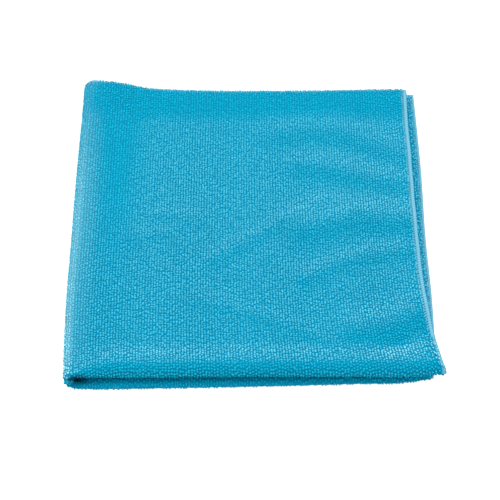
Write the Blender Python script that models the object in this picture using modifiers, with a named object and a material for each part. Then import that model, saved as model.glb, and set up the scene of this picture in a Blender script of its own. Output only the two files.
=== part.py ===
"""A square microfibre cloth, folded in quarters and lying flat.

The cloth is one sheet. A first fold, at the front (-Y), lays one half on the other as a pair of
layers. A second fold, at the left (-X), lays that pair on itself, so four layers lie in a stack.
The hems are free at the right and at the back. Lengths are in metres, +Z is up, and the cloth
lies on z = 0 with its middle over the origin.
"""

import math
from collections import namedtuple

import bmesh
import bpy
import numpy as np

# Driving dimensions
SIDE = 0.400  # the flat cloth, each way
THICKNESS = 0.0022  # base knit with the pile on both its faces
LAYER_GAP = 0.0020  # between the two layers that the front fold joins
TIGHT_GAP = 0.0006  # between the same two where a fold pulls them together
PAIR_GAP = 0.0010  # between the two pairs that the left fold joins
TURN_RELEASE = 0.035  # how far from the left fold a pair reaches its full height
BULGE_RELEASE = 0.034  # how far from the left fold its bulge dies out
FRONT_RIDGE = 0.0016  # how far the top layer stands up along the front fold
FRONT_RIDGE_RELEASE = 0.018  # how far behind the front roll it lies level again
STRAIGHT_HEM = 0.0945  # where the right hems would lie if they ran straight
BACK_RISE = 0.0028  # how far the top layer rises toward its back hem
BACK_RISE_LENGTH = 0.026
BACK_CURL = 0.0038  # how much of the top layer curls down at the back
BACK_CURL_TURN = 105.0  # degrees
BACK_CURL_RELEASE = 0.012  # how far from the left fold this curl begins
RIGHT_CURL = 0.0050  # how much of the top layer turns down at the right
RIGHT_CURL_START = 0.008  # how far round the front roll this has begun in full

HALF = SIDE / 2
LOOSE_STEP = (THICKNESS + LAYER_GAP) / 2  # from a pair's middle to each of its layers
TIGHT_STEP = (THICKNESS + TIGHT_GAP) / 2  # the same at a fold
PAIR_HEIGHT = 2 * LOOSE_STEP + THICKNESS
FOLD_RADIUS = (PAIR_HEIGHT + PAIR_GAP) / 2  # half the distance between the two pairs' middles
LEFT_ARC = FOLD_RADIUS * math.pi / 2

# The front rolls, once clear of the left fold: how deep they are from front to back on their
# outer and inner sides, and how far out their foremost line lies from the middle of the pair.
Roll = namedtuple("Roll", "outer_depth inner_depth nose")
UPPER_ROLL = Roll(0.0067, 0.0015, -0.0007)
LOWER_ROLL = Roll(0.0022, 0.0045, 0.0004)

# The outline seen from above. For each distance back from the middle (y): the outer edge of the
# left fold, how much the fold bulges, the right hems of the upper and of the lower pair, and how
# far the top layer's hem turns down, in degrees.
SideRow = namedtuple("SideRow", "y fold bulge upper_hem lower_hem turn_down")
SIDES = (
    SideRow(-0.100, -0.0980, 0.0008, 0.1023, 0.0963, 65.0),
    SideRow(-0.080, -0.0991, 0.0010, 0.0983, 0.0981, 32.0),
    SideRow(-0.055, -0.1001, 0.0014, 0.0952, 0.0989, 16.0),
    SideRow(-0.010, -0.1006, 0.0020, 0.0934, 0.0986, 5.0),
    SideRow(0.040, -0.1011, 0.0026, 0.0933, 0.0996, 0.0),
    SideRow(0.100, -0.1007, 0.0042, 0.0937, 0.0993, 0.0),
)

# For each distance right of the middle (x): the outer edge of the front fold and the back hem,
# for the upper and for the lower pair.
EndRow = namedtuple("EndRow", "x upper_front lower_front upper_back lower_back")
ENDS = (
    EndRow(-0.100, -0.1001, -0.1011, 0.0988, 0.1001),
    EndRow(-0.085, -0.0983, -0.1013, 0.0997, 0.0996),
    EndRow(-0.055, -0.0977, -0.1008, 0.0966, 0.0981),
    EndRow(0.000, -0.0971, -0.0997, 0.0950, 0.0986),
    EndRow(0.055, -0.0971, -0.0981, 0.0956, 0.0996),
    EndRow(0.085, -0.0971, -0.0969, 0.0962, 0.0994),
    EndRow(0.100, -0.0959, -0.0939, 0.0962, 0.0994),
)

# Creases of the top layer. Each has its crest, or its bottom where its height is negative, on a
# path of (x, y) places.
Crease = namedtuple("Crease", "path width height")
CREASES = (
    Crease(((0.018, 0.064), (0.050, 0.066), (0.068, 0.058), (0.094, 0.045)), 0.010, 0.0017),
    Crease(((0.030, 0.040), (0.050, 0.037), (0.068, 0.031), (0.096, 0.024)), 0.009, 0.0016),
    Crease(((0.024, -0.014), (0.040, -0.004), (0.060, 0.004), (0.096, 0.001)), 0.011, 0.0019),
    Crease(((0.025, -0.040), (0.046, -0.029), (0.068, -0.022), (0.094, -0.018)), 0.006, 0.0009),
    Crease(((0.058, -0.062), (0.078, -0.058), (0.097, -0.053)), 0.012, 0.0016),
    Crease(((0.090, -0.073), (0.084, -0.078), (0.072, -0.087)), 0.007, -0.0012),
    Crease(((0.024, 0.004), (0.008, -0.006), (-0.008, -0.017)), 0.005, 0.0006),
    Crease(((-0.029, -0.052), (0.009, -0.063), (0.044, -0.079)), 0.005, 0.0006),
    Crease(((-0.052, 0.004), (-0.028, 0.001)), 0.006, 0.0004),
    Crease(((-0.066, -0.011), (-0.044, -0.008)), 0.005, 0.0003),
)

# Grid lines across the flat cloth: where each run of cells starts and ends, and how many it has.
Run = namedtuple("Run", "start end cells")
RUNS_ACROSS = (
    Run(-HALF, -0.012, 7),
    Run(-0.012, 0.012, 10),
    Run(0.012, 0.070, 5),
    Run(0.070, 0.110, 4),
    Run(0.110, HALF - RIGHT_CURL, 15),
    Run(HALF - RIGHT_CURL, HALF, 3),
)
RUNS_ALONG = (
    Run(-HALF, -0.010, 5),
    Run(-0.010, 0.010, 14),
    Run(0.010, HALF - BACK_CURL, 30),
    Run(HALF - BACK_CURL, HALF, 4),
)

ANGLE_STEPS = 8  # enough to find a place on an ellipse by its arc length
CLOTH_BLUE = (0.026, 0.402, 0.604, 1.0)


def ease(value):
    """Goes smoothly from 0 to 1 as the value does."""
    value = np.clip(value, 0.0, 1.0)
    return value * value * (3.0 - 2.0 * value)


def read_table(rows, key, column, at):
    """Reads a column of a table on a smooth curve through its rows."""
    keys = np.array([getattr(row, key) for row in rows])
    values = np.array([getattr(row, column) for row in rows])
    slopes = np.gradient(values, keys)
    at = np.clip(at, keys[0], keys[-1])
    left = np.clip(np.searchsorted(keys, at) - 1, 0, len(keys) - 2)
    gap = keys[left + 1] - keys[left]
    share = (at - keys[left]) / gap
    rise = ease(share)
    start_pull = share * (1.0 - share) ** 2 * gap * slopes[left]
    end_pull = share**2 * (share - 1.0) * gap * slopes[left + 1]
    return values[left] + rise * (values[left + 1] - values[left]) + start_pull + end_pull


def grid_lines(runs):
    """The places of all grid lines, run by run."""
    parts = [np.linspace(run.start, run.end, run.cells, endpoint=False) for run in runs]
    return np.concatenate(parts + [[runs[-1].end]])


def crease_height(x, y):
    """How far the creases lift the top layer at places seen from above."""
    total = np.zeros_like(x)
    for crease in CREASES:
        nearest = np.full_like(x, np.inf)
        for start, end in zip(crease.path, crease.path[1:]):
            run_x, run_y = end[0] - start[0], end[1] - start[1]
            share = ((x - start[0]) * run_x + (y - start[1]) * run_y) / (run_x**2 + run_y**2)
            share = np.clip(share, 0.0, 1.0)
            away = np.hypot(x - start[0] - share * run_x, y - start[1] - share * run_y)
            nearest = np.minimum(nearest, away)
        total += crease.height * np.exp(-((nearest / crease.width) ** 2))
    return total


def quarter_ellipse(distance, depth, height):
    """Follows a quarter ellipse from its nose: how far back, how high, and its whole length."""
    middle = (depth + height) / 2
    length = middle * math.pi / 2
    distance = np.minimum(distance, length)
    angle = distance / middle
    for _ in range(ANGLE_STEPS):
        angle = (distance + (depth - height) / 4 * np.sin(2 * angle)) / middle
    return depth * (1.0 - np.cos(angle)), height * np.sin(angle), length


def curl(distance, length, turn):
    """An end that curls down: how much it falls short and drops at a distance past its start."""
    distance = np.maximum(distance, 0.0)
    angle = turn * distance / length
    short = distance * (1.0 - np.sinc(angle / math.pi))
    return short, distance * np.sin(angle / 2) * np.sinc(angle / (2 * math.pi))


def left_section(across, y):
    """The left fold's section at y: a half circle, then straight on to the right hems.

    Returns x and z on the pairs' middles, and the outward direction there."""
    radius = FOLD_RADIUS + read_table(SIDES, "y", "bulge", y) / 2
    centre = read_table(SIDES, "y", "fold", y) + TIGHT_STEP + THICKNESS / 2 + radius
    side = np.where(across > 0.0, 1.0, -1.0)
    upper_hem = read_table(SIDES, "y", "upper_hem", y)
    lower_hem = read_table(SIDES, "y", "lower_hem", y)
    flare = np.where(across > 0.0, upper_hem, lower_hem) - STRAIGHT_HEM

    quarter = radius * math.pi / 2
    share = np.abs(across) / HALF
    run = share * (quarter + STRAIGHT_HEM - centre) + share**3 * flare
    turn = np.minimum(run / radius, math.pi / 2)
    past = np.maximum(run - quarter, 0.0)

    spread = np.where(across > 0.0, 2 * (radius - FOLD_RADIUS), 0.0)
    released = np.clip(past / BULGE_RELEASE, 0.0, 1.0)
    slope = spread * 6 * released * (1.0 - released) / BULGE_RELEASE
    x = centre - radius * np.cos(turn) + past
    z = PAIR_HEIGHT / 2 + radius * (1.0 + side * np.sin(turn)) - spread * ease(released)
    return x, z, slope - np.cos(turn), side * np.sin(turn)


def front_section(across, along):
    """The front fold's section: a roll of two quarter ellipses, then two level layers.

    Returns how far back places are as a share of the whole, how far they are from their pair's
    middle, and how far they are past the roll."""
    upper_side = across > 0.0
    outer_side = along > 0.0
    loose = ease((np.abs(across) - LEFT_ARC) / TURN_RELEASE)
    step = TIGHT_STEP + loose * (LOOSE_STEP - TIGHT_STEP)
    roll = [np.where(upper_side, above, below) for above, below in zip(UPPER_ROLL, LOWER_ROLL)]
    nose = loose * roll[2]
    depth = TIGHT_STEP + loose * (np.where(outer_side, roll[0], roll[1]) - TIGHT_STEP)
    ridge = np.where(upper_side & outer_side, loose * FRONT_RIDGE, 0.0)
    height = np.where(outer_side, step + ridge - nose, step + nose)

    back, rise, length = quarter_ellipse(np.abs(along), depth, height)
    past_roll = np.maximum(np.abs(along) - length, 0.0)
    off = nose + np.where(outer_side, rise, -rise)
    off = off - ridge * ease(past_roll / FRONT_RIDGE_RELEASE)
    return (back + past_roll) / (depth + HALF - length), off, past_roll


def fold_cloth(across, along):
    """Where places on the middle of the flat cloth lie once it is folded."""
    x, z, out_x, out_z = left_section(across, np.abs(along) - HALF / 2)
    back_share, off, past_roll = front_section(across, along)

    upper = ease(0.5 + across / (4 * LEFT_ARC))
    ends = {column: read_table(ENDS, "x", column, x) for column in EndRow._fields[1:]}
    front = ends["lower_front"] + upper * (ends["upper_front"] - ends["lower_front"])
    rear = ends["lower_back"] + upper * (ends["upper_back"] - ends["lower_back"])
    front += THICKNESS / 2
    y = front + (rear - front) * back_share
    x = x + off * out_x
    z = z + off * out_z

    # The top layer has creases, and rises toward its back hem.
    top_layer = (across > 0.0) & (along > 0.0)
    begins = np.where(top_layer, ease(past_roll / FRONT_RIDGE_RELEASE), 0.0)
    z += begins * crease_height(x, y)
    z += begins * BACK_RISE * ease((along - HALF) / BACK_RISE_LENGTH + 1.0)

    # Its back and right hems turn down.
    begins *= ease((across - LEFT_ARC) / BACK_CURL_RELEASE)
    turn = begins * math.radians(BACK_CURL_TURN)
    short, drop = curl(along - HALF + BACK_CURL, BACK_CURL, turn)
    y -= short
    z -= drop
    turn = np.radians(read_table(SIDES, "y", "turn_down", y)) * ease(along / RIGHT_CURL_START)
    short, drop = curl(across - HALF + RIGHT_CURL, RIGHT_CURL, turn)
    x -= short
    z -= drop
    return np.stack([x, y, z], axis=-1)


def make_sheet():
    """The sheet along the cloth's middle, folded from a flat grid."""
    lines_across = grid_lines(RUNS_ACROSS)
    lines_along = grid_lines(RUNS_ALONG)
    cells_across = len(lines_across) - 1
    cells_along = len(lines_along) - 1

    sheet = bmesh.new()
    bmesh.ops.create_grid(sheet, x_segments=cells_across, y_segments=cells_along, size=1.0)
    mesh = bpy.data.meshes.new("cloth")
    sheet.to_mesh(mesh)
    sheet.free()

    places = np.empty(len(mesh.vertices) * 3)
    mesh.vertices.foreach_get("co", places)
    places = places.reshape(-1, 3)
    columns = np.round((places[:, 0] + 1.0) / 2.0 * cells_across).astype(int)
    rows = np.round((places[:, 1] + 1.0) / 2.0 * cells_along).astype(int)
    folded = fold_cloth(lines_across[columns], lines_along[rows])
    mesh.vertices.foreach_set("co", folded.ravel())
    mesh.shade_smooth()
    mesh.update()
    return mesh


def cloth_material():
    """Cyan-blue microfibre: dull, with no metal in it."""
    material = bpy.data.materials.new("microfibre terry")
    material.use_nodes = True
    surface = material.node_tree.nodes["Principled BSDF"]
    surface.inputs["Base Color"].default_value = CLOTH_BLUE
    surface.inputs["Roughness"].default_value = 0.9
    surface.inputs["Metallic"].default_value = 0.0
    return material


def main():
    for old in list(bpy.data.objects):
        bpy.data.objects.remove(old)

    pieces = bpy.data.collections.new("microfibre_cloth")
    bpy.context.scene.collection.children.link(pieces)
    cloth = bpy.data.objects.new("cloth", make_sheet())
    cloth.data.materials.append(cloth_material())
    pieces.objects.link(cloth)

    body = cloth.modifiers.new("body", "SOLIDIFY")
    body.thickness = THICKNESS
    body.offset = 0.0
    body.use_even_offset = True


main()
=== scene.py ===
"""Looks of a square microfibre cloth that is folded in quarters and lies flat.

The pieces are the knitted base sheet, the terry loops that stand on it where its faces show, and
the overlocked hem with its stitches. They all follow one fold, so all are worked out from places
on the flat cloth. "across" is 0 at the left fold, above 0 in the upper pair of layers and below 0
in the lower pair. "along" is 0 at the front fold and above 0 in the outer half, which is the top
layer of the upper pair and the bottom layer of the lower one. Lengths are in metres, +Z is up.
"""

import math
from collections import namedtuple

import bmesh
import bpy
import numpy as np
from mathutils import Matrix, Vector


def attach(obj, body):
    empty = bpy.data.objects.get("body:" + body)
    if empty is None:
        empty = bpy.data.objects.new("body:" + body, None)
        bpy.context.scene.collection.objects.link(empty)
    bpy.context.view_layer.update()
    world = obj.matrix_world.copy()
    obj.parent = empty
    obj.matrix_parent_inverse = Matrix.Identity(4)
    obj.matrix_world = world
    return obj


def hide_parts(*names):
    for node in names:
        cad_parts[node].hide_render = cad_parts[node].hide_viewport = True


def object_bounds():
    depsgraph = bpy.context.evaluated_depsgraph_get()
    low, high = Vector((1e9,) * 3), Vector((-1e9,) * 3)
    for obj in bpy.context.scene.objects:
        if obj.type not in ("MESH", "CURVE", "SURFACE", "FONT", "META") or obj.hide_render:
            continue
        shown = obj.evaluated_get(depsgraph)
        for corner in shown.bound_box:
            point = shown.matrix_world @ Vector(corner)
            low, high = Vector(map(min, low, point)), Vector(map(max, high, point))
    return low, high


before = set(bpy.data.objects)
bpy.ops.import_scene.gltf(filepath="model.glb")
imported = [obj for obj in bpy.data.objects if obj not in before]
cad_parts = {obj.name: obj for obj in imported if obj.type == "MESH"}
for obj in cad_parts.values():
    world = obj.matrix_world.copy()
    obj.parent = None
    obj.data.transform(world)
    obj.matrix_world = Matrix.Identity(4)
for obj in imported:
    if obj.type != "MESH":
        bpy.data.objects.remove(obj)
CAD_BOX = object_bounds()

MM = 0.001

# The folded cloth, on the same fold as its solid
SIDE = 400 * MM
THICKNESS = 2.2 * MM  # the base with the pile on both its faces
LAYER_GAP = 2.0 * MM  # between the two layers that the front fold joins
TIGHT_GAP = 0.6 * MM  # between the same two where a fold pulls them together
PAIR_GAP = 1.0 * MM  # between the two pairs that the left fold joins
TURN_RELEASE = 24 * MM  # how far from the left fold a pair reaches its full height
BULGE_RELEASE = 34 * MM  # how far from the left fold its bulge dies out
FRONT_RIDGE = 1.1 * MM  # how far the top layer stands up along the front fold
FRONT_RIDGE_RELEASE = 13 * MM  # how far behind the front roll it lies level again
STRAIGHT_HEM = 94.5 * MM  # where the right hems would lie if they ran straight
BACK_RISE = 2.8 * MM  # how far the top layer rises toward its back hem
BACK_RISE_LENGTH = 26 * MM
BACK_CURL = 3.8 * MM  # how much of the top layer curls down at the back
BACK_CURL_TURN = 105.0  # degrees
BACK_CURL_RELEASE = 12 * MM  # how far from the left fold this curl begins
RIGHT_CURL = 5.0 * MM  # how much of the top layer turns down at the right
RIGHT_CURL_START = 8 * MM  # how far round the front roll this has begun in full

HALF = SIDE / 2
LOOSE_STEP = (THICKNESS + LAYER_GAP) / 2  # from a pair's middle to each of its layers
TIGHT_STEP = (THICKNESS + TIGHT_GAP) / 2  # the same at a fold
PAIR_HEIGHT = 2 * LOOSE_STEP + THICKNESS
FOLD_RADIUS = (PAIR_HEIGHT + PAIR_GAP) / 2  # half the distance between the two pairs' middles
LEFT_ARC = FOLD_RADIUS * math.pi / 2

# The front rolls, once clear of the left fold: how deep they are from front to back on their
# outer and inner sides, and how far out their foremost line lies from the middle of the pair
Roll = namedtuple("Roll", "outer_depth inner_depth nose")
UPPER_ROLL = Roll(5.4 * MM, 1.5 * MM, -0.7 * MM)
LOWER_ROLL = Roll(2.2 * MM, 4.5 * MM, 0.4 * MM)

# The outline seen from above. For each distance back from the middle (y): the outer edge of the
# left fold, how much the fold bulges, the right hems of the upper and of the lower pair, and how
# far the top layer's hem turns down, in degrees
SideRow = namedtuple("SideRow", "y fold bulge upper_hem lower_hem turn_down")
SIDES = (
    SideRow(-0.100, -0.0980, 0.0008, 0.1023, 0.0963, 65.0),
    SideRow(-0.080, -0.0991, 0.0010, 0.0983, 0.0981, 32.0),
    SideRow(-0.055, -0.1001, 0.0014, 0.0952, 0.0989, 16.0),
    SideRow(-0.010, -0.1006, 0.0020, 0.0934, 0.0986, 5.0),
    SideRow(0.040, -0.1011, 0.0026, 0.0933, 0.0996, 0.0),
    SideRow(0.100, -0.1007, 0.0042, 0.0937, 0.0993, 0.0),
)

# For each distance right of the middle (x): the outer edge of the front fold and the back hem,
# for the upper and for the lower pair
EndRow = namedtuple("EndRow", "x upper_front lower_front upper_back lower_back")
ENDS = (
    EndRow(-0.100, -0.1001, -0.1011, 0.0988, 0.1001),
    EndRow(-0.085, -0.0983, -0.1013, 0.1000, 0.0996),
    EndRow(-0.055, -0.0977, -0.1008, 0.0969, 0.0981),
    EndRow(0.000, -0.0971, -0.0997, 0.0953, 0.0986),
    EndRow(0.055, -0.0971, -0.0981, 0.0960, 0.0996),
    EndRow(0.085, -0.0971, -0.0969, 0.0966, 0.0994),
    EndRow(0.100, -0.0959, -0.0939, 0.0966, 0.0994),
)

# Creases of the top layer. Each has its crest, or its bottom where its height is below 0, on a path
Crease = namedtuple("Crease", "path width height")
CREASES = (
    Crease(((0.018, 0.064), (0.050, 0.066), (0.068, 0.058), (0.094, 0.045)), 10 * MM, 1.7 * MM),
    Crease(((0.030, 0.040), (0.050, 0.037), (0.068, 0.031), (0.096, 0.024)), 9 * MM, 1.6 * MM),
    Crease(((0.031, -0.004), (0.044, 0.000), (0.060, 0.004), (0.096, 0.001)), 11 * MM, 2.0 * MM),
    Crease(((0.030, -0.038), (0.046, -0.029), (0.068, -0.022), (0.094, -0.018)), 6 * MM, 0.8 * MM),
    Crease(((0.056, -0.070), (0.074, -0.066), (0.088, -0.059), (0.098, -0.053)), 9 * MM, 1.2 * MM),
    Crease(((0.090, -0.073), (0.084, -0.078), (0.072, -0.087)), 7 * MM, -1.2 * MM),
    Crease(((0.043, 0.015), (0.024, 0.004), (0.005, -0.009), (-0.020, -0.026)), 5 * MM, 0.6 * MM),
    Crease(((-0.029, -0.052), (0.009, -0.063), (0.044, -0.079)), 5 * MM, 0.3 * MM),
    Crease(((-0.052, 0.004), (-0.028, 0.001)), 6 * MM, 0.4 * MM),
    Crease(((-0.066, -0.011), (-0.044, -0.008)), 5 * MM, 0.3 * MM),
)

ANGLE_STEPS = 8  # enough to find a place on an ellipse by its arc length
NUDGE = 0.05 * MM  # how far apart places are compared to find the cloth's directions
PATH_STEPS = 8000  # enough to measure the folded cloth's length from hem to hem

# Grid lines of the base sheet: where each run of cells starts and ends, and how many it has
Run = namedtuple("Run", "start end cells")
RUNS_ACROSS = (
    Run(-HALF, -190 * MM, 8),
    Run(-190 * MM, -14 * MM, 24),
    Run(-14 * MM, 14 * MM, 24),
    Run(14 * MM, HALF, 84),
)
RUNS_ALONG = (
    Run(-HALF, -10 * MM, 26),
    Run(-10 * MM, 10 * MM, 22),
    Run(10 * MM, 194 * MM, 78),
    Run(194 * MM, HALF, 10),
)

# Knit and pile
BASE_THICKNESS = 1.1 * MM
WALE_PITCH = 1.5 * MM
COURSE_PITCH = 1.45 * MM
LOOP_WIDTH = 1.1 * MM
LOOP_LENGTH = 1.0 * MM
LOOP_HEIGHT = 0.8 * MM
ROOT_DEPTH = 0.1 * MM  # how far the loops' places lie inside the base's surface
LOOP_TILT = 0.2  # radians, either way
SIZE_SPREAD = 0.12  # how much larger or smaller a loop or stitch may be
COURSE_JITTER = 0.3  # how far a loop strays along its wale, as a share of the pitch
WALE_JITTER = 0.15  # how far it strays across
STREAK_COURSES = 5.0  # how long the streaks in the loops' shades are
STREAK_SHARE = 0.2  # and how much of the shade they make up
FIBRE_TUFT = 0.7 * MM

# Hem. Threads cover the cloth's edge all round, and the pile reaches a little way over them
UPPER_COVER = 2.5 * MM  # how wide the cover on the upper hems is
LOWER_COVER = 1.3 * MM
COVER_CHANGE = 100 * MM  # over how much of the cloth one width goes over to the other
COVER_THICKNESS = 1.8 * MM
COVER_SIDES = 8
RINGS_A_WRAP = 3
WRAP_RIDGE = 0.16  # how much a wrap swells the cover, as a share of its width
STITCH_PITCH = 1.5 * MM
UPPER_STITCH = 1.3 * MM
LOWER_STITCH = 1.2 * MM
STITCH_WIDTH = 1.0 * MM
STITCH_TILT = 0.1  # radians, either way
STITCHES_START = 28 * MM  # how far from the front fold the pile no longer hides the stitches
THREAD_CRIMP = 0.5 * MM
BARE_SHARE = 0.8  # how much of the cover's width has no pile over it
BARE_EDGE = 0.3 * MM  # and how much there is besides
CORNER_INSET = 1.1 * MM  # where the pile ends at the hems beside the front fold
CORNER_REACH = 30 * MM
CORNER_FADE = 18 * MM
BACK_INSET = 1.2 * MM  # where it ends at the back hems
HEM_PULL = 1.5  # how much more the loops stray where the hem's stitches pull at them
HEM_PULL_REACH = 9 * MM

# How the pile lies. It leans toward the front more and more from LEAN_START, quite flat past
# LEAN_BACK, and in bands beside the left fold and the right hem. Where it leans, it hides its roots'
# colour and takes away the painted sheen.
LEAN_START = -10 * MM
LEAN_SPREAD = 150 * MM
LEAN_BACK = 68 * MM
LEAN_BACK_WIDTH = 15 * MM
LEAN_LEFT = -77 * MM
LEAN_LEFT_WIDTH = 12 * MM
LEAN_LEFT_AMOUNT = 0.75
LEAN_LEFT_FADE = 120 * MM  # how far behind the front fold the left band has begun in full
LEAN_RIGHT = 85 * MM
LEAN_RIGHT_WIDTH = 8 * MM
LEAN_RIGHT_AMOUNT = 0.25
ROOTS_HIDDEN = 0.4  # how much of its roots' colour a leaning pile hides
UPRIGHT = -1.5  # the least lean, where the painted fold sheen is strongest

# Over the left fold the pile gets a painted sheen, and more so from FOLD_SHEEN_START toward the front
FOLD_SHEEN_REACH = 17 * MM
FOLD_SHEEN_FADE = 0.6 * FOLD_SHEEN_REACH
FOLD_SHEEN_AT_BACK = 0.35
FOLD_SHEEN_START = 85 * MM
FOLD_SHEEN_LENGTH = 80 * MM
FOLD_SHEEN_AMOUNT = 0.9  # how much of the lean it takes away, which brings back the painted sheen

# Where it lies in shade: inside the front fold and below the upper layer's right hem, where it gets no
# painted sheen, and deepest in the left end of the front fold's slot, between the lips of the upper
# and the lower roll, where painted shade darkens its colour
INSIDE_FOLD = 10 * MM
HEM_SHADE = 0.8 * MM
SLOT_START = 2.0 * MM
SLOT_END = 16 * MM
SLOT_END_WIDTH = 9 * MM
UPPER_LIP = 1.7 * MM
LOWER_LIP = -1.7 * MM
SLOT_LIP_WIDTH = 1.6 * MM
SLOT_DEPTH = 12 * MM

# Camera and light
CAMERA_ELEVATION = math.radians(56.0)
CAMERA_DISTANCE = 0.707
CAMERA_TARGET = (-0.0003, -0.0164, 0.008)
SENSOR_WIDTH = 36.0
PICTURE_PIXELS = 500
FOCAL_PIXELS = 1268
KEY_PLACE = (-0.4, 1.2, 5.0)
KEY_SIZE = 2.4
KEY_POWER = 240.0
SKY_STRENGTH = 0.75
FLOOR_SIZE = 6.0
FLOOR_DROP = 0.3 * MM

WHITE = (1.0, 1.0, 1.0, 1.0)
# The tint of the painted sheen that is added to the fibres' colour
PAINTED_SHEEN_TINT = (0.98, 1.15, 0.92, 1.0)

# Settings that nodes share, and where a Mix node has its inputs and its output for colours
COLOURS = {"data_type": "RGBA"}
VECTORS = {"data_type": "FLOAT_VECTOR"}
TIMES = {"operation": "MULTIPLY"}
MIX_FACTOR, MIX_FROM, MIX_TO, MIX_RESULT = 0, 6, 7, 2


# ---- The fold ----


def ease(value):
    """Goes smoothly from 0 to 1 as the value does."""
    value = np.clip(value, 0.0, 1.0)
    return value * value * (3.0 - 2.0 * value)


def read_table(rows, column, at):
    """Reads a table's column on a smooth curve through its rows, at places in its first column."""
    keys = np.array([row[0] for row in rows])
    values = np.array([getattr(row, column) for row in rows])
    slopes = np.gradient(values, keys)
    at = np.clip(at, keys[0], keys[-1])
    left = np.clip(np.searchsorted(keys, at) - 1, 0, len(keys) - 2)
    gap = keys[left + 1] - keys[left]
    share = (at - keys[left]) / gap
    rise = ease(share)
    start_pull = share * (1.0 - share) ** 2 * gap * slopes[left]
    end_pull = share**2 * (share - 1.0) * gap * slopes[left + 1]
    return values[left] + rise * (values[left + 1] - values[left]) + start_pull + end_pull


def crease_height(x, y):
    """How far the creases lift the top layer at places seen from above."""
    total = np.zeros_like(x)
    for crease in CREASES:
        nearest = np.full_like(x, np.inf)
        for start, end in zip(crease.path, crease.path[1:]):
            run_x, run_y = end[0] - start[0], end[1] - start[1]
            share = ((x - start[0]) * run_x + (y - start[1]) * run_y) / (run_x**2 + run_y**2)
            share = np.clip(share, 0.0, 1.0)
            away = np.hypot(x - start[0] - share * run_x, y - start[1] - share * run_y)
            nearest = np.minimum(nearest, away)
        total += crease.height * np.exp(-((nearest / crease.width) ** 2))
    return total


def quarter_ellipse(distance, depth, height):
    """Follows a quarter ellipse from its nose: how far back, how high, and its whole length."""
    middle = (depth + height) / 2
    length = middle * math.pi / 2
    distance = np.minimum(distance, length)
    angle = distance / middle
    for _ in range(ANGLE_STEPS):
        angle = (distance + (depth - height) / 4 * np.sin(2 * angle)) / middle
    return depth * (1.0 - np.cos(angle)), height * np.sin(angle), length


def curl(distance, length, turn):
    """An end that curls down: how much it falls short and drops at a distance past its start."""
    distance = np.maximum(distance, 0.0)
    angle = turn * distance / length
    short = distance * (1.0 - np.sinc(angle / math.pi))
    return short, distance * np.sin(angle / 2) * np.sinc(angle / (2 * math.pi))


def left_section(across, y):
    """The left fold's section at y: a half circle, then straight on to the right hems.

    Returns x and z on the pairs' middles, and the outward direction there."""
    radius = FOLD_RADIUS + read_table(SIDES, "bulge", y) / 2
    centre = read_table(SIDES, "fold", y) + TIGHT_STEP + THICKNESS / 2 + radius
    side = np.where(across > 0.0, 1.0, -1.0)
    upper_hem = read_table(SIDES, "upper_hem", y)
    lower_hem = read_table(SIDES, "lower_hem", y)
    flare = np.where(across > 0.0, upper_hem, lower_hem) - STRAIGHT_HEM

    quarter = radius * math.pi / 2
    share = np.abs(across) / HALF
    run = share * (quarter + STRAIGHT_HEM - centre) + share**3 * flare
    turn = np.minimum(run / radius, math.pi / 2)
    past = np.maximum(run - quarter, 0.0)

    spread = np.where(across > 0.0, 2 * (radius - FOLD_RADIUS), 0.0)
    released = np.clip(past / BULGE_RELEASE, 0.0, 1.0)
    slope = spread * 6 * released * (1.0 - released) / BULGE_RELEASE
    x = centre - radius * np.cos(turn) + past
    z = PAIR_HEIGHT / 2 + radius * (1.0 + side * np.sin(turn)) - spread * ease(released)
    return x, z, slope - np.cos(turn), side * np.sin(turn)


def front_section(across, along):
    """The front fold's section: a roll of two quarter ellipses, then two level layers.

    Returns how far back places are as a share of the whole, how far they are from their pair's
    middle, and how far they are past the roll."""
    upper_side = across > 0.0
    outer_side = along > 0.0
    loose = ease((np.abs(across) - LEFT_ARC) / TURN_RELEASE)
    step = TIGHT_STEP + loose * (LOOSE_STEP - TIGHT_STEP)
    outer_depth, inner_depth, nose = (
        np.where(upper_side, above, below) for above, below in zip(UPPER_ROLL, LOWER_ROLL)
    )
    nose = loose * nose
    depth = TIGHT_STEP + loose * (np.where(outer_side, outer_depth, inner_depth) - TIGHT_STEP)
    ridge = np.where(upper_side & outer_side, loose * FRONT_RIDGE, 0.0)
    height = np.where(outer_side, step + ridge - nose, step + nose)

    back, rise, length = quarter_ellipse(np.abs(along), depth, height)
    past_roll = np.maximum(np.abs(along) - length, 0.0)
    off = nose + np.where(outer_side, rise, -rise)
    off = off - ridge * ease(past_roll / FRONT_RIDGE_RELEASE)
    return (back + past_roll) / (depth + HALF - length), off, past_roll


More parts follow.
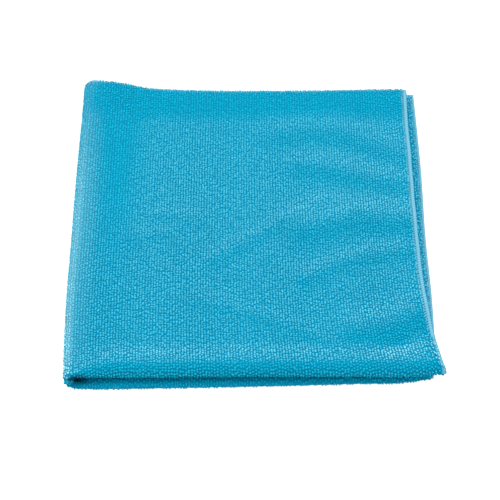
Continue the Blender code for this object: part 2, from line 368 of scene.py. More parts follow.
def fold_cloth(across, along):
    """Where places on the middle of the flat cloth lie once it is folded."""
    x, z, out_x, out_z = left_section(across, np.abs(along) - HALF / 2)
    back_share, off, past_roll = front_section(across, along)

    upper = ease(0.5 + across / (4 * LEFT_ARC))
    ends = {column: read_table(ENDS, column, x) for column in EndRow._fields[1:]}
    front = ends["lower_front"] + upper * (ends["upper_front"] - ends["lower_front"])
    rear = ends["lower_back"] + upper * (ends["upper_back"] - ends["lower_back"])
    front += THICKNESS / 2
    y = front + (rear - front) * back_share
    x = x + off * out_x
    z = z + off * out_z

    # The top layer has creases, and rises toward its back hem.
    top_layer = (across > 0.0) & (along > 0.0)
    begins = np.where(top_layer, ease(past_roll / FRONT_RIDGE_RELEASE), 0.0)
    z += begins * crease_height(x, y)
    z += begins * BACK_RISE * ease((along - HALF) / BACK_RISE_LENGTH + 1.0)

    # Its back and right hems turn down.
    begins *= ease((across - LEFT_ARC) / BACK_CURL_RELEASE)
    turn = begins * math.radians(BACK_CURL_TURN)
    short, drop = curl(along - HALF + BACK_CURL, BACK_CURL, turn)
    y -= short
    z -= drop
    turn = np.radians(read_table(SIDES, "turn_down", y)) * ease(along / RIGHT_CURL_START)
    short, drop = curl(across - HALF + RIGHT_CURL, RIGHT_CURL, turn)
    x -= short
    z -= drop
    return np.stack([x, y, z], axis=-1)


def unit(vectors):
    return vectors / np.linalg.norm(vectors, axis=-1, keepdims=True)


def fold_frame(across, along):
    """Folded places with the outward direction, and the directions across and along the cloth."""
    right = fold_cloth(across + NUDGE, along) - fold_cloth(across - NUDGE, along)
    ahead = fold_cloth(across, along + NUDGE) - fold_cloth(across, along - NUDGE)
    out = unit(np.cross(right, ahead))
    return fold_cloth(across, along), out, unit(right), unit(ahead)


# ---- How the pile lies, and where its painted sheen and painted shade go ----


def fold_sheen_field(place):
    """How much painted sheen the pile gets over the left fold, up to 1: most toward the front."""
    x, y = place[:, 0], place[:, 1]
    from_fold = x - read_table(SIDES, "fold", y)
    toward_front = FOLD_SHEEN_AT_BACK + (1.0 - FOLD_SHEEN_AT_BACK) * ease((FOLD_SHEEN_START - y) / FOLD_SHEEN_LENGTH)
    return toward_front * ease((FOLD_SHEEN_REACH - from_fold) / FOLD_SHEEN_FADE)


def pile_lean_hides_sheen(place):
    """How far the pile leans toward the front, up to 1, which hides its roots' colour and takes away
    the painted sheen on its pale crowns.

    It grows toward the back, and lies in bands beside the left fold and the right hem. Over the fold
    itself, and toward the front, the painted fold sheen takes it below 0."""
    x, y = place[:, 0], place[:, 1]
    gradual = (y - LEAN_START) / LEAN_SPREAD
    back = ease((y - LEAN_BACK) / LEAN_BACK_WIDTH)
    left = np.exp(-(((x - LEAN_LEFT) / LEAN_LEFT_WIDTH) ** 2))
    left *= ease((y + HALF / 2) / LEAN_LEFT_FADE)
    right = ease((x - LEAN_RIGHT) / LEAN_RIGHT_WIDTH)
    lean = gradual + (1.0 - gradual) * back + LEAN_LEFT_AMOUNT * left + LEAN_RIGHT_AMOUNT * right
    return np.clip(lean - FOLD_SHEEN_AMOUNT * fold_sheen_field(place), UPRIGHT, 1.0)


def under_hem(place):
    """Whether places lie below the upper layer's right hem, or in its shade."""
    return place[:, 0] < read_table(SIDES, "upper_hem", place[:, 1]) + HEM_SHADE


def in_slot(across, along):
    """How much painted shade darkens places in the left end of the front fold's slot, up to 1: most
    where they lie deepest in it.
    """
    from_fold = np.abs(across)
    end = ease((SLOT_END - from_fold) / SLOT_END_WIDTH) * ease(from_fold / SLOT_START - 1.0)
    lip = np.where(across > 0.0, UPPER_LIP, LOWER_LIP)
    return end * ease((lip - along) / SLOT_LIP_WIDTH) * (along > -SLOT_DEPTH)


# ---- Materials ----


def linear(hex_colour):
    """An sRGB hex colour as the linear colour that a shader takes."""
    parts = [int(hex_colour[place : place + 2], 16) / 255 for place in (1, 3, 5)]
    return tuple(((c + 0.055) / 1.055) ** 2.4 if c > 0.04045 else c / 12.92 for c in parts) + (1.0,)


def add_node(tree, kind, settings=(), inputs=(), links=()):
    """Adds a node with its settings, its inputs' values, and links from other nodes' outputs."""
    node = tree.nodes.new(kind)
    for name, value in dict(settings).items():
        setattr(node, name, value)
    for name, value in dict(inputs).items():
        node.inputs[name].default_value = value
    for name, socket in dict(links).items():
        tree.links.new(socket, node.inputs[name])
    return node


def wave_scale(period):
    """The scale at which a Wave texture's bands repeat once in the period."""
    return 2 * math.pi / (20 * period)


def new_material(name):
    material = bpy.data.materials.new(name)
    material.use_nodes = True
    tree = material.node_tree
    return material, tree, tree.nodes["Principled BSDF"]


def add_painted_shade_and_sheen(tree, colour, painted_sheen_amount):
    """A colour with painted light on it: painted shade darkens it in the left end of the front fold's
    slot, and a pale painted sheen is added to it."""
    deep = add_node(tree, "ShaderNodeAttribute", {"attribute_name": "deep"})
    # Painted shade: the slot's dark blue
    shaded = add_node(
        tree,
        "ShaderNodeMix",
        COLOURS,
        {MIX_TO: linear("#003e57")},
        {MIX_FACTOR: deep.outputs["Fac"], MIX_FROM: colour},
    )
    # Painted sheen: a pale tint added to the colour
    painted_sheen = add_node(
        tree,
        "ShaderNodeMix",
        {"data_type": "RGBA", "blend_type": "ADD"},
        {MIX_TO: PAINTED_SHEEN_TINT},
        {MIX_FACTOR: painted_sheen_amount, MIX_FROM: shaded.outputs[MIX_RESULT]},
    )
    return painted_sheen.outputs[MIX_RESULT]


def loop_colour(tree, life, tip, lean):
    """The loops' blue: deepest at their roots, partly as painted shade between the loops and partly
    because their split tips are paler; a leaning pile covers the roots.
    """
    laid = add_node(
        tree, "ShaderNodeMapRange", inputs={"To Max": ROOTS_HIDDEN}, links={"Value": lean}
    )
    covered = add_node(
        tree, "ShaderNodeMix", inputs={"B": 1.0}, links={"Factor": laid.outputs["Result"], "A": tip}
    )
    crown = add_node(
        tree,
        "ShaderNodeMix",
        COLOURS,
        {MIX_FROM: linear("#0097ba"), MIX_TO: linear("#00c2e0")},
        {MIX_FACTOR: life},
    )
    colour = add_node(
        tree,
        "ShaderNodeMix",
        COLOURS,
        {MIX_FROM: linear("#0082a2")},
        {MIX_FACTOR: covered.outputs["Result"], MIX_TO: crown.outputs[MIX_RESULT]},
    )
    return colour.outputs[MIX_RESULT]


def loop_painted_sheen(tree, life, tip, lean, fold_sheen_share):
    """How much painted sheen the loops get: more as the cloth's own face turns edge on, less where it
    faces the front, none on the roots, under the folds or where the pile leans, and most on loops that
    stand proud."""
    out = add_node(tree, "ShaderNodeAttribute", {"attribute_name": "out"}).outputs["Vector"]
    face = add_node(
        tree,
        "ShaderNodeVectorTransform",
        {"vector_type": "NORMAL", "convert_from": "OBJECT", "convert_to": "WORLD"},
        links={"Vector": out},
    )
    facing = add_node(tree, "ShaderNodeLayerWeight", links={"Normal": face.outputs["Vector"]})
    turned = add_node(
        tree,
        "ShaderNodeMapRange",
        inputs={"From Min": 0.085, "From Max": 0.3, "To Min": 0.004, "To Max": 0.138},
        links={"Value": facing.outputs["Facing"]},
    )
    parts = add_node(tree, "ShaderNodeSeparateXYZ", links={"Vector": out})
    # The painted sheen falls only where the cloth's face turns up toward the light above, and less
    # where it faces the front.
    upward = add_node(
        tree, "ShaderNodeMapRange", inputs={"From Max": 0.5}, links={"Value": parts.outputs["Z"]}
    )
    off_front = add_node(
        tree,
        "ShaderNodeMapRange",
        inputs={"From Min": -0.9, "From Max": -0.5, "To Min": 0.15},
        links={"Value": parts.outputs["Y"]},
    )
    standing = add_node(
        tree,
        "ShaderNodeMapRange",
        inputs={"From Min": UPRIGHT, "To Min": 2.5, "To Max": 0.12},
        links={"Value": lean},
    )

    # Livelier loops get more painted sheen, but where the painted fold sheen is, every fibre gets it
    # alike.
    lively = add_node(tree, "ShaderNodeMapRange", inputs={"To Max": 1.8}, links={"Value": life})
    crowns = add_node(tree, "ShaderNodeMath", TIMES, links={0: lively.outputs["Result"], 1: tip})
    alike = add_node(tree, "ShaderNodeMapRange", inputs={"To Max": 0.7}, links={"Value": fold_sheen_share})
    proud = add_node(
        tree,
        "ShaderNodeMix",
        inputs={"B": 0.5},
        links={"Factor": alike.outputs["Result"], "A": crowns.outputs[0]},
    )
    amount = turned.outputs["Result"]
    for part in (upward, off_front, standing, proud):
        links = {0: amount, 1: part.outputs["Result"]}
        amount = add_node(tree, "ShaderNodeMath", TIMES, links=links).outputs[0]
    return amount


def terry_material():
    """Looped microfibre terry: a broad pale painted sheen, standing in for the light that split fibres
    scatter in the loops, is added to its colour and grows as the cloth turns away; it is not a gloss.
    Each loop takes the dye a little differently, and its colour is deepest at its root, partly as
    painted shade."""
    material, tree, surface = new_material("looped microfibre terry")
    shade, tip, lean, fold_sheen_share = (
        add_node(tree, "ShaderNodeAttribute", {"attribute_name": name}).outputs["Fac"]
        for name in ("shade", "tip", "lean", "open")
    )

    # Tufts of split fibre, finer than a loop, over each loop's own shade
    tuft = add_node(
        tree,
        "ShaderNodeTexNoise",
        inputs={"Scale": 1.0 / FIBRE_TUFT, "Detail": 1.0},
        links={"Vector": add_node(tree, "ShaderNodeTexCoord").outputs["Object"]},
    )
    spread = add_node(
        tree,
        "ShaderNodeMapRange",
        inputs={"From Min": 0.3, "From Max": 0.7},
        links={"Value": tuft.outputs["Fac"]},
    )
    life = add_node(
        tree,
        "ShaderNodeMix",
        inputs={"Factor": 0.75},
        links={"A": shade, "B": spread.outputs["Result"]},
    ).outputs["Result"]

    colour = loop_colour(tree, life, tip, lean)
    painted_sheen_amount = loop_painted_sheen(tree, life, tip, lean, fold_sheen_share)
    tree.links.new(add_painted_shade_and_sheen(tree, colour, painted_sheen_amount), surface.inputs["Base Color"])
    surface.inputs["Roughness"].default_value = 0.8
    surface.inputs["Specular IOR Level"].default_value = 0.05
    surface.inputs["Sheen Weight"].default_value = 0.02
    surface.inputs["Sheen Roughness"].default_value = 0.3
    return material


def knit_material():
    """Warp-knitted microfibre base: it shows as the deeper blue between the loops, in rows of small
    stitches. Over the left fold it gets a pale painted sheen as its face turns edge on, and in the
    left end of the front fold's slot it gets painted shade."""
    material, tree, surface = new_material("warp-knitted microfibre base")
    lean, fold_sheen_share = (
        add_node(tree, "ShaderNodeAttribute", {"attribute_name": name}).outputs["Fac"]
        for name in ("lean", "open")
    )
    flat = add_node(tree, "ShaderNodeUVMap", {"uv_map": "flat"}).outputs["UV"]
    wales = add_node(
        tree,
        "ShaderNodeTexWave",
        {"bands_direction": "X"},
        {"Scale": wave_scale(WALE_PITCH)},
        {"Vector": flat},
    )
    courses = add_node(
        tree,
        "ShaderNodeTexWave",
        {"bands_direction": "Y"},
        {"Scale": wave_scale(COURSE_PITCH / 2), "Distortion": 1.0},
        {"Vector": flat},
    )
    stitches = add_node(
        tree,
        "ShaderNodeMath",
        TIMES,
        links={0: wales.outputs["Fac"], 1: courses.outputs["Fac"]},
    ).outputs[0]
    laid = add_node(
        tree, "ShaderNodeMapRange", inputs={"To Max": ROOTS_HIDDEN}, links={"Value": lean}
    )
    paler = add_node(
        tree,
        "ShaderNodeMix",
        inputs={"B": 1.0},
        links={"Factor": laid.outputs["Result"], "A": stitches},
    )
    yarn = add_node(
        tree,
        "ShaderNodeMix",
        COLOURS,
        {MIX_FROM: linear("#007ea2"), MIX_TO: linear("#0096bc")},
        {MIX_FACTOR: paler.outputs["Result"]},
    )

    # Painted sheen on the base as its own face turns edge on, where the painted fold sheen is
    turned = add_node(
        tree,
        "ShaderNodeMapRange",
        inputs={"From Min": 0.1, "From Max": 0.35, "To Max": 0.14},
        links={"Value": add_node(tree, "ShaderNodeLayerWeight").outputs["Facing"]},
    )
    painted_sheen_amount = add_node(
        tree, "ShaderNodeMath", TIMES, links={0: turned.outputs["Result"], 1: fold_sheen_share}
    )
    colour = add_painted_shade_and_sheen(tree, yarn.outputs[MIX_RESULT], painted_sheen_amount.outputs[0])
    tree.links.new(colour, surface.inputs["Base Color"])
    relief = add_node(
        tree,
        "ShaderNodeBump",
        inputs={"Strength": 0.5, "Distance": 0.15 * MM},
        links={"Height": stitches},
    )
    tree.links.new(relief.outputs["Normal"], surface.inputs["Normal"])
    surface.inputs["Roughness"].default_value = 0.95
    surface.inputs["Specular IOR Level"].default_value = 0.05
    return material


def thread_material():
    """Textured polyester overlock thread: paler than the cloth, with crimped filaments and a soft
    silky sheen. It is darker where the wraps meet, which is painted shade, and its tone differs at
    random from stitch to stitch."""
    material, tree, surface = new_material("textured polyester overlock thread")
    shade = add_node(tree, "ShaderNodeAttribute", {"attribute_name": "shade"}).outputs["Fac"]
    crimp = add_node(
        tree,
        "ShaderNodeTexNoise",
        inputs={"Scale": 1.0 / THREAD_CRIMP, "Detail": 1.0},
        links={"Vector": add_node(tree, "ShaderNodeTexCoord").outputs["Object"]},
    ).outputs["Fac"]
    life = add_node(tree, "ShaderNodeMix", inputs={"Factor": 0.5}, links={"A": shade, "B": crimp})
    colour = add_node(
        tree,
        "ShaderNodeMix",
        COLOURS,
        {MIX_FROM: linear("#3f8ba8"), MIX_TO: linear("#80c0d4")},
        {MIX_FACTOR: life.outputs["Result"]},
    )
    tree.links.new(colour.outputs[MIX_RESULT], surface.inputs["Base Color"])
    relief = add_node(
        tree,
        "ShaderNodeBump",
        inputs={"Strength": 0.4, "Distance": 0.1 * MM},
        links={"Height": crimp},
    )
    tree.links.new(relief.outputs["Normal"], surface.inputs["Normal"])
    surface.inputs["Roughness"].default_value = 0.75
    surface.inputs["Specular IOR Level"].default_value = 0.2
    surface.inputs["Sheen Weight"].default_value = 0.1
    return material


def floor_material():
    """White table under even light: plain, and so bright that no shadow shows on it."""
    material, _, surface = new_material("matte white table")
    surface.inputs["Base Color"].default_value = linear("#8c8c8c")
    surface.inputs["Roughness"].default_value = 0.9
    surface.inputs["Emission Color"].default_value = WHITE
    surface.inputs["Emission Strength"].default_value = 1.0
    return material


# ---- Base sheet ----


def link(mesh, name, material=None):
    piece = bpy.data.objects.new(name, mesh)
    bpy.context.scene.collection.objects.link(piece)
    if material:
        mesh.materials.append(material)
    return piece


def grid_lines(runs):
    """The places of all grid lines, run by run."""
    parts = [np.linspace(run.start, run.end, run.cells, endpoint=False) for run in runs]
    return np.concatenate(parts + [[runs[-1].end]])


def make_base_sheet(material):
    """The knitted base, folded from a flat grid."""
    lines_across = grid_lines(RUNS_ACROSS)
    lines_along = grid_lines(RUNS_ALONG)
    cells_across = len(lines_across) - 1
    cells_along = len(lines_along) - 1
    sheet = bmesh.new()
    bmesh.ops.create_grid(
        sheet, x_segments=cells_across, y_segments=cells_along, size=1.0, calc_uvs=True
    )
    mesh = bpy.data.meshes.new("cloth_base")
    sheet.to_mesh(mesh)
    sheet.free()

    places = np.empty(len(mesh.vertices) * 3)
    mesh.vertices.foreach_get("co", places)
    places = places.reshape(-1, 3)
    columns = np.round((places[:, 0] + 1.0) / 2.0 * cells_across).astype(int)
    rows = np.round((places[:, 1] + 1.0) / 2.0 * cells_along).astype(int)
    across = lines_across[columns]
    along = lines_along[rows]
    folded = fold_cloth(across, along)
    mesh.vertices.foreach_set("co", folded.ravel())
    # The base gets the lean and the painted fold sheen only where its outer face shows.
    shown = ease(along / FOLD_SHEEN_REACH) * (across > -LEFT_ARC)
    for title, values in (
        ("open", fold_sheen_field(folded) * shown),
        ("lean", pile_lean_hides_sheen(folded) * shown),
        ("deep", in_slot(across, along)),
    ):
        attribute = mesh.attributes.new(title, "FLOAT", "POINT")
        attribute.data.foreach_set("value", values)

    corner = np.empty(len(mesh.loops), dtype=int)
    mesh.loops.foreach_get("vertex_index", corner)
    flat = np.stack([across[corner], along[corner]], axis=-1)
    layer = mesh.uv_layers.active or mesh.uv_layers.new(name="flat")
    layer.name = "flat"
    layer.data.foreach_set("uv", flat.ravel())
    mesh.shade_smooth()
    mesh.update()

    piece = link(mesh, "cloth_base", material)
    body = piece.modifiers.new("knit thickness", "SOLIDIFY")
    body.thickness = BASE_THICKNESS
    body.offset = 0.0
    return piece


# ---- Loops and stitches, one of each ----


def skin_tube(builder, rings):
    """Adds the faces between a tube's rings."""
    sides = len(rings[0])
    for ring, following in zip(rings, rings[1:]):
        for side in range(sides):
            beside = (side + 1) % sides
            builder.faces.new((ring[side], ring[beside], following[beside], following[side]))


def finish_mesh(builder, name):
    """A smooth mesh of what was built, with its faces pointing outwards."""
    bmesh.ops.recalc_face_normals(builder, faces=builder.faces)
    mesh = bpy.data.meshes.new(name)
    builder.to_mesh(mesh)
    builder.free()
    mesh.shade_smooth()
    return mesh


# A loop's spine, as places along and above the base with each one's share of the way up and its
# width, how many sides its yarn has, and how far it is drawn out along the wale. The plainer one
# is for the underside and between the layers.
Bend = namedtuple("Bend", "y z share width")
Loop = namedtuple("Loop", "spine sides stretch")
SHOWN_LOOP = Loop(
    (
        Bend(-0.50, -0.15, 0.0, 0.6),
        Bend(-0.25, 0.66, 0.8, 1.0),
        Bend(0.25, 0.73, 1.0, 1.0),
        Bend(0.52, -0.15, 0.0, 0.6),
    ),
    4,
    1.0,
)
PLAIN_LOOP = Loop(
    (Bend(-0.50, -0.15, 0.0, 0.8), Bend(0.0, 0.7, 1.0, 1.0), Bend(0.50, -0.15, 0.0, 0.8)),
    3,
    1.5,
)
YARN_HALF_WIDTH = 0.5
YARN_HALF_THICKNESS = 0.27


def loop_seed(kind):
    """One terry loop: a soft arch of split yarn along Y, the wale's direction, rooted in the base.

    "tip" goes from 0 at its roots to 1 at its crown."""
    loop = bmesh.new()
    tip = loop.verts.layers.float.new("tip")
    rings = []
    for count, bend in enumerate(kind.spine):
        before = kind.spine[max(count - 1, 0)]
        after = kind.spine[min(count + 1, len(kind.spine) - 1)]
        run_y, run_z = after.y - before.y, after.z - before.z
        run = math.hypot(run_y, run_z)
        ring = []
        for side in range(kind.sides):
            angle = 2 * math.pi * side / kind.sides
            high = YARN_HALF_THICKNESS * math.sin(angle)
            wide = YARN_HALF_WIDTH * bend.width * math.cos(angle)
            place = (wide, bend.y - high * run_z / run, bend.z + high * run_y / run)
            vert = loop.verts.new(place)
            vert[tip] = bend.share
            ring.append(vert)
        rings.append(ring)
    skin_tube(loop, rings)
    loop.faces.new(rings[0])
    loop.faces.new(rings[-1])
    return finish_mesh(loop, "terry_loop")


STITCH_SPINE = ((-1.0, -0.2), (-0.86, 0.22), (-0.4, 0.36), (0.0, 0.42), (0.25, 0.3))
STITCH_SIDES = 6
STITCH_HALF_WIDTH = 0.36
STITCH_HALF_HEIGHT = 0.2
STITCH_SLANT = 0.7


def stitch_seed():
    """One overlock stitch on the cloth's outer face: a thread that slants in from the hem's cover.

    X points away from the cloth and is as long as the stitch; Y, along the hem, and Z are in
    millimetres."""
    thread = bmesh.new()
    rings = []
    for x, z in STITCH_SPINE:
        ring = []
        for side in range(STITCH_SIDES):
            angle = 2 * math.pi * side / STITCH_SIDES
            y = STITCH_SLANT * x + STITCH_HALF_WIDTH * math.cos(angle)
            ring.append(thread.verts.new((x, y, z + STITCH_HALF_HEIGHT * math.sin(angle))))
        rings.append(ring)
    skin_tube(thread, rings)
    thread.faces.new(rings[0])
    thread.faces.new(rings[-1])
    return finish_mesh(thread, "overlock_stitch")


# ---- Setting them on the cloth ----


def points_piece(name, places, directions, numbers):
    """Bare points with named directions and numbers, for shapes to be placed on."""
    mesh = bpy.data.meshes.new(name)
    mesh.vertices.add(len(places))
    mesh.vertices.foreach_set("co", places.ravel())
    for title, values in directions.items():
        attribute = mesh.attributes.new(title, "FLOAT_VECTOR", "POINT")
        attribute.data.foreach_set("vector", values.ravel())
    for title, values in numbers.items():
        attribute = mesh.attributes.new(title, "FLOAT", "POINT")
        attribute.data.foreach_set("value", values)
    return link(mesh, name)


def place_tree():
    """Geometry Nodes that set a seed shape on every point, turned to the point's own directions.

    The shape's Z follows the point's "out" and its Y follows "run". Each takes its own size and
    tilt. What else the point holds, such as its "shade", goes with the shape."""
    tree = bpy.data.node_groups.new("set shapes on the cloth", "GeometryNodeTree")
    face = tree.interface
    for title, kind in (
        ("Geometry", "NodeSocketGeometry"),
        ("Shape", "NodeSocketObject"),
        ("Size", "NodeSocketVector"),
        ("Size spread", "NodeSocketFloat"),
        ("Tilt spread", "NodeSocketFloat"),
        ("Seed", "NodeSocketInt"),
        ("Material", "NodeSocketMaterial"),
    ):
        face.new_socket(title, in_out="INPUT", socket_type=kind)
    face.new_socket("Geometry", in_out="OUTPUT", socket_type="NodeSocketGeometry")
    given = add_node(tree, "NodeGroupInput").outputs
    shape = add_node(tree, "GeometryNodeObjectInfo", links={"Object": given["Shape"]})

    # Turned to the point's directions, then tilted a little
    out, run = (
        add_node(tree, "GeometryNodeInputNamedAttribute", VECTORS, {"Name": name}).outputs["Attribute"]
        for name in ("out", "run")
    )
    upright = add_node(
        tree, "FunctionNodeAlignRotationToVector", {"axis": "Z"}, links={"Vector": out}
    )
    turned = add_node(
        tree,
        "FunctionNodeAlignRotationToVector",
        {"axis": "Y", "pivot_axis": "Z"},
        links={"Rotation": upright.outputs["Rotation"], "Vector": run},
    )
    low_tilt = add_node(tree, "ShaderNodeMath", TIMES, {1: -1.0}, {0: given["Tilt spread"]})
    tilt = add_node(
        tree,
        "FunctionNodeRandomValue",
        VECTORS,
        links={"Min": low_tilt.outputs[0], "Max": given["Tilt spread"], "Seed": given["Seed"]},
    )
    tilt_rotation = add_node(
        tree, "FunctionNodeEulerToRotation", links={"Euler": tilt.outputs["Value"]}
    )
    rotation = add_node(
        tree,
        "FunctionNodeRotateRotation",
        {"rotation_space": "LOCAL"},
        links={
            "Rotation": turned.outputs["Rotation"],
            "Rotate By": tilt_rotation.outputs["Rotation"],
        },
    )

    # A little larger or smaller than given
    smallest, largest = (
        add_node(
            tree, "ShaderNodeMath", {"operation": operation}, {0: 1.0}, {1: given["Size spread"]}
        ).outputs[0]
        for operation in ("SUBTRACT", "ADD")
    )
    share = add_node(
        tree,
        "FunctionNodeRandomValue",
        VECTORS,
        links={"Min": smallest, "Max": largest, "Seed": given["Seed"]},
    )
    size = add_node(
        tree,
        "ShaderNodeVectorMath",
        TIMES,
        links={0: given["Size"], 1: share.outputs["Value"]},
    )
    placed = add_node(
        tree,
        "GeometryNodeInstanceOnPoints",
        links={
            "Points": given["Geometry"],
            "Instance": shape.outputs["Geometry"],
            "Rotation": rotation.outputs["Rotation"],
            "Scale": size.outputs["Vector"],
        },
    )
    real = add_node(
        tree, "GeometryNodeRealizeInstances", links={"Geometry": placed.outputs["Instances"]}
    )
    finished = add_node(
        tree,
        "GeometryNodeSetMaterial",
        links={"Geometry": real.outputs["Geometry"], "Material": given["Material"]},
    )
    add_node(tree, "NodeGroupOutput", links={"Geometry": finished.outputs["Geometry"]})
    return tree


def set_on_points(tree, points, seed_mesh, name, settings):
    """Runs the placing tree on the points, and keeps its result as a plain mesh piece."""
    seed_piece = link(seed_mesh, f"{name}_seed")
    modifier = points.modifiers.new("places", "NODES")
    modifier.node_group = tree
    sockets = {
        item.name: item.identifier
        for item in tree.interface.items_tree
        if item.item_type == "SOCKET" and item.in_out == "INPUT"
    }
    modifier[sockets["Shape"]] = seed_piece
    for title, value in settings.items():
        modifier[sockets[title]] = value

    depsgraph = bpy.context.evaluated_depsgraph_get()
    mesh = bpy.data.meshes.new_from_object(points.evaluated_get(depsgraph))
    mesh.name = name
    bpy.data.objects.remove(points)
    bpy.data.objects.remove(seed_piece)
    return link(mesh, name)


# ---- Pile ----

# Where the pile shows: on which face of the flat cloth (1 is the outer one), and from and to in
# mm, across and then along it. Between the layers only what lies near the hems can be seen.
# It leans as its place has it, and as much more as the piece says, and loses as much painted sheen.
Pile = namedtuple("Pile", "name face limits more_lean loop")
PILES = (
    Pile("pile_top_right", 1, (132, 200, -9, 200), 0.0, SHOWN_LOOP),
    Pile("pile_top_middle", 1, (66, 132, -9, 200), 0.0, SHOWN_LOOP),
    Pile("pile_top_left", 1, (0, 66, -9, 200), 0.0, SHOWN_LOOP),
    Pile("pile_third_right", 1, (-200, -188, -200, -9), -0.9, SHOWN_LOOP),
    Pile("pile_under_left", 1, (-99, 0, -9, 200), 0.0, PLAIN_LOOP),
    Pile("pile_under_right", 1, (-200, -99, -9, 200), 0.0, PLAIN_LOOP),
    Pile("pile_third_back", 1, (-188, 0, -200, -188), 2.0, PLAIN_LOOP),
    Pile("pile_second_right", -1, (188, 200, -200, -9), 2.0, PLAIN_LOOP),
    Pile("pile_second_back", -1, (0, 188, -200, -188), 2.0, PLAIN_LOOP),
    Pile("pile_lowest_right", -1, (-200, -188, 9, 200), 2.0, PLAIN_LOOP),
    Pile("pile_lowest_back", -1, (-188, 0, 188, 200), 2.0, PLAIN_LOOP),
)


def hem_cover(across):
    """How wide the thread cover on the edge is: it is drawn in tighter on the lower hems."""
    upper = ease(0.5 + across / COVER_CHANGE)
    return LOWER_COVER + upper * (UPPER_COVER - LOWER_COVER)


def streaks(rng, wales, courses):
    """A value from 0 to 1 for each loop that drifts along the wale, a few courses at a time."""
    knots = rng.uniform(0.0, 1.0, (wales, int(courses / STREAK_COURSES) + 3))
    starts = rng.uniform(0.0, 1.0, (wales, 1))
    at = np.arange(courses)[None, :] / STREAK_COURSES + starts
    left = at.astype(int)
    rise = ease(at - left)
    row = np.arange(wales)[:, None]
    return knots[row, left] * (1.0 - rise) + knots[row, left + 1] * rise


def even_wales(across_from, across_to, along):
    """Places across the flat cloth that are a wale apart once it is folded, round the fold too."""
    fine = np.linspace(-HALF, HALF, PATH_STEPS + 1)
    path = fold_cloth(fine, np.full_like(fine, along))
    steps = np.linalg.norm(np.diff(path, axis=0), axis=1)
    length = np.concatenate([[0.0], np.cumsum(steps)])
    wales = np.interp(np.arange(WALE_PITCH / 2, length[-1], WALE_PITCH), length, fine)
    return wales[(wales >= across_from) & (wales < across_to)]


def loop_places(pile, rng):
    """Where the loops of a pile are rooted on the flat cloth, and each one's shade."""
    across_from, across_to, along_from, along_to = (limit * MM for limit in pile.limits)
    pitch = COURSE_PITCH * pile.loop.stretch
    wales = even_wales(across_from, across_to, (along_from + along_to) / 2)
    courses = np.arange(along_from, along_to, pitch)
    drift = streaks(rng, len(wales), len(courses)).ravel()
    phases = np.repeat(rng.uniform(-0.5, 0.5, len(wales)), len(courses))
    across, along = (grid.ravel() for grid in np.meshgrid(wales, courses, indexing="ij"))
    pulled = 1.0 + HEM_PULL * ease(1.0 - (HALF - np.abs(across)) / HEM_PULL_REACH)
    strays = pulled * rng.uniform(-COURSE_JITTER, COURSE_JITTER, len(along))
    along = along + (phases + strays) * pitch
    across = across + pulled * rng.uniform(-WALE_JITTER, WALE_JITTER, len(across)) * WALE_PITCH
    shades = (1.0 - STREAK_SHARE) * rng.uniform(0.0, 1.0, len(across)) + STREAK_SHARE * drift

    inset = BARE_SHARE * hem_cover(across) + BARE_EDGE
    inset += ease((CORNER_REACH - np.abs(along)) / CORNER_FADE) * (CORNER_INSET - inset)
    kept = (HALF - np.abs(across) > inset) & (np.abs(along) < HALF - BACK_INSET)
    return across[kept], along[kept], shades[kept]


def make_pile(tree, pile, seed, material):
    """Terry loops on a stretch of one of the cloth's faces."""
    across, along, shades = loop_places(pile, np.random.default_rng(seed))
    place, out, _, ahead = fold_frame(across, along)
    out = out * pile.face

    # Beside the hem they stand on its cover.
    to_hem = HALF - np.maximum(np.abs(across), np.abs(along))
    over_hem = ease(1.5 - to_hem / hem_cover(across))
    rise = BASE_THICKNESS / 2 - ROOT_DEPTH + over_hem * (COVER_THICKNESS - BASE_THICKNESS) / 2
    place = place + out * rise[:, None]

    # Inside the front fold and in the upper hem's shade the loops get no painted sheen; on the third
    # layer their painted sheen is alike on every crown, and in the slot they get painted shade.
    inside_fold = (along < 0.0) & (along > -INSIDE_FOLD)
    shaded = inside_fold | (across < 0.0) & under_hem(place)
    third_layer = (across < 0.0) & (along < 0.0)
    numbers = {
        "shade": shades,
        "lean": np.where(shaded, 1.0, np.clip(pile_lean_hides_sheen(place) + pile.more_lean, UPRIGHT, 1.0)),
        "open": np.where(third_layer, 1.0, fold_sheen_field(place) * ease(along / FOLD_SHEEN_REACH)),
        "deep": in_slot(across, along),
    }
    points = points_piece(f"{pile.name}_points", place, {"out": out, "run": ahead}, numbers)
    settings = {
        "Size": (LOOP_WIDTH, LOOP_LENGTH * pile.loop.stretch, LOOP_HEIGHT),
        "Size spread": SIZE_SPREAD,
        "Tilt spread": LOOP_TILT,
        "Seed": seed,
        "Material": material,
    }
    return set_on_points(tree, points, loop_seed(pile.loop), pile.name, settings)


# ---- Hem ----


def hem_path(pitch):
    """Places round the flat cloth's edge, with the direction away from the cloth at each."""
    count = int(round(SIDE / pitch))
    run = (np.arange(count) + 0.5) / count * SIDE - HALF
    ones = np.full(count, HALF)
    zeros = np.zeros(count)
    sides = (
        (ones, run, 1.0 + zeros, zeros),
        (-run, ones, zeros, 1.0 + zeros),
        (-ones, -run, zeros - 1.0, zeros),
        (run, -ones, zeros, zeros - 1.0),
    )
    return [np.concatenate(parts) for parts in zip(*sides)]


def hem_frame(pitch, inset_share):
    """Folded places along the hem, with the directions outward, away from the cloth and along.

    They lie in from the edge by a share of the thread cover's width there."""
    across, along, away_across, away_along = hem_path(pitch)
    inwards = hem_cover(across) * inset_share
    across = np.clip(across - away_across * inwards, inwards - HALF, HALF - inwards)
    along = np.clip(along - away_along * inwards, inwards - HALF, HALF - inwards)
    place, out, right, ahead = fold_frame(across, along)
    away = right * away_across[:, None] + ahead * away_along[:, None]
    return across, along, place, out, away, unit(np.cross(out, away))


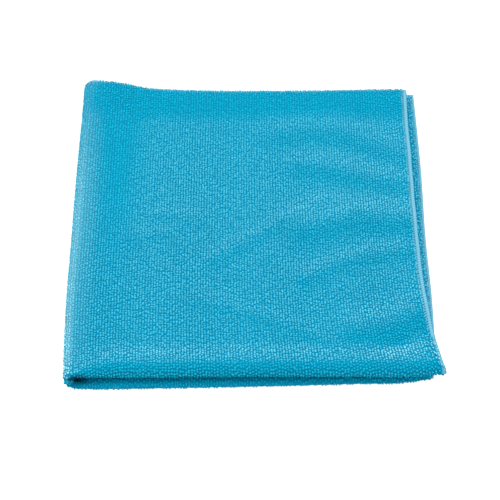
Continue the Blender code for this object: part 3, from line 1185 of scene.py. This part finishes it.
def make_stitches(tree, name, upper, length, seed, material):
    """Overlock stitches on the outer face, round the upper or the lower hems.

    Near the front fold the pile hides them."""
    across, along, place, out, _, run = hem_frame(STITCH_PITCH, 1.0)
    kept = ((across > 0.0) == upper) & (np.abs(along) > STITCHES_START)
    place, out, run = place[kept], out[kept], run[kept]
    place = place + out * BASE_THICKNESS / 2
    numbers = {"shade": np.random.default_rng(seed).uniform(0.0, 1.0, len(place))}
    points = points_piece(f"{name}_points", place, {"out": out, "run": run}, numbers)
    settings = {
        "Size": (length, STITCH_WIDTH, STITCH_WIDTH),
        "Size spread": SIZE_SPREAD,
        "Tilt spread": STITCH_TILT,
        "Seed": seed,
        "Material": material,
    }
    return set_on_points(tree, points, stitch_seed(), name, settings)


def make_hem_cover(material):
    """The looper threads that cover the cut edge: a flat tube round the cloth's whole edge, with
    a slanting ridge for each stitch's wrap.

    "shade" goes from 0 between two wraps to 1 on top of one, and the thread is darker where it is low:
    painted shade between the wraps."""
    pitch = SIDE / (RINGS_A_WRAP * round(SIDE / STITCH_PITCH))
    across, _, place, out, away, _ = hem_frame(pitch, 0.5)
    angles = np.linspace(0.0, 2 * math.pi, COVER_SIDES, endpoint=False)
    turn = 2 * math.pi * np.arange(len(place))[:, None] / RINGS_A_WRAP + angles[None, :]
    ridge = 0.5 + 0.5 * np.cos(turn)
    swell = 1.0 + WRAP_RIDGE * (ridge - 0.5)
    wide = swell * np.cos(angles)[None, :] * hem_cover(across)[:, None] / 2
    high = swell * np.sin(angles)[None, :] * COVER_THICKNESS / 2
    spots = place[:, None, :] + away[:, None, :] * wide[..., None] + out[:, None, :] * high[..., None]

    cover = bmesh.new()
    shade = cover.verts.layers.float.new("shade")
    rings = []
    for ring_spots, ring_shades in zip(spots, ridge):
        ring = [cover.verts.new(spot) for spot in ring_spots]
        for vert, value in zip(ring, ring_shades):
            vert[shade] = value
        rings.append(ring)
    skin_tube(cover, rings + rings[:1])
    return link(finish_mesh(cover, "hem_cover"), "hem_cover", material)


# ---- Studio ----


def make_floor():
    bpy.ops.mesh.primitive_plane_add(
        size=FLOOR_SIZE, location=(0.0, 0.0, CAD_BOX[0][2] - FLOOR_DROP)
    )
    floor = bpy.context.object
    floor.name = "table"
    floor.data.materials.append(floor_material())


def make_camera():
    """Looks down at the cloth from the front, square to its front fold."""
    data = bpy.data.cameras.new("camera")
    data.sensor_width = SENSOR_WIDTH
    data.lens = SENSOR_WIDTH * FOCAL_PIXELS / PICTURE_PIXELS
    camera = bpy.data.objects.new("camera", data)
    camera.location = (
        CAMERA_TARGET[0],
        CAMERA_TARGET[1] - CAMERA_DISTANCE * math.cos(CAMERA_ELEVATION),
        CAMERA_TARGET[2] + CAMERA_DISTANCE * math.sin(CAMERA_ELEVATION),
    )
    camera.rotation_euler = (math.pi / 2 - CAMERA_ELEVATION, 0.0, 0.0)
    bpy.context.scene.collection.objects.link(camera)
    bpy.context.scene.camera = camera


def make_lights():
    """A large soft light high behind the cloth, under an even white sky."""
    world = bpy.data.worlds.new("studio")
    bpy.context.scene.world = world
    world.use_nodes = True
    sky = world.node_tree.nodes["Background"]
    sky.inputs["Color"].default_value = WHITE
    sky.inputs["Strength"].default_value = SKY_STRENGTH
    data = bpy.data.lights.new("key", "AREA")
    data.shape = "DISK"
    data.size = KEY_SIZE
    data.energy = KEY_POWER
    light = bpy.data.objects.new("key", data)
    light.location = KEY_PLACE
    light.rotation_euler = (-Vector(KEY_PLACE)).to_track_quat("-Z", "Y").to_euler()
    bpy.context.scene.collection.objects.link(light)
    bpy.context.scene.view_settings.view_transform = "Standard"


def main():
    make_camera()
    terry = terry_material()
    knit = knit_material()
    thread = thread_material()
    base = make_base_sheet(knit)
    tree = place_tree()
    piles = [make_pile(tree, pile, seed, terry) for seed, pile in enumerate(PILES)]
    hems = [
        make_stitches(tree, "stitches_upper", True, UPPER_STITCH, 5, thread),
        make_stitches(tree, "stitches_lower", False, LOWER_STITCH, 6, thread),
        make_hem_cover(thread),
    ]

    for piece in [base] + hems + piles:
        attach(piece, "root")
    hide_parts("cloth")
    make_floor()
    make_lights()


main()
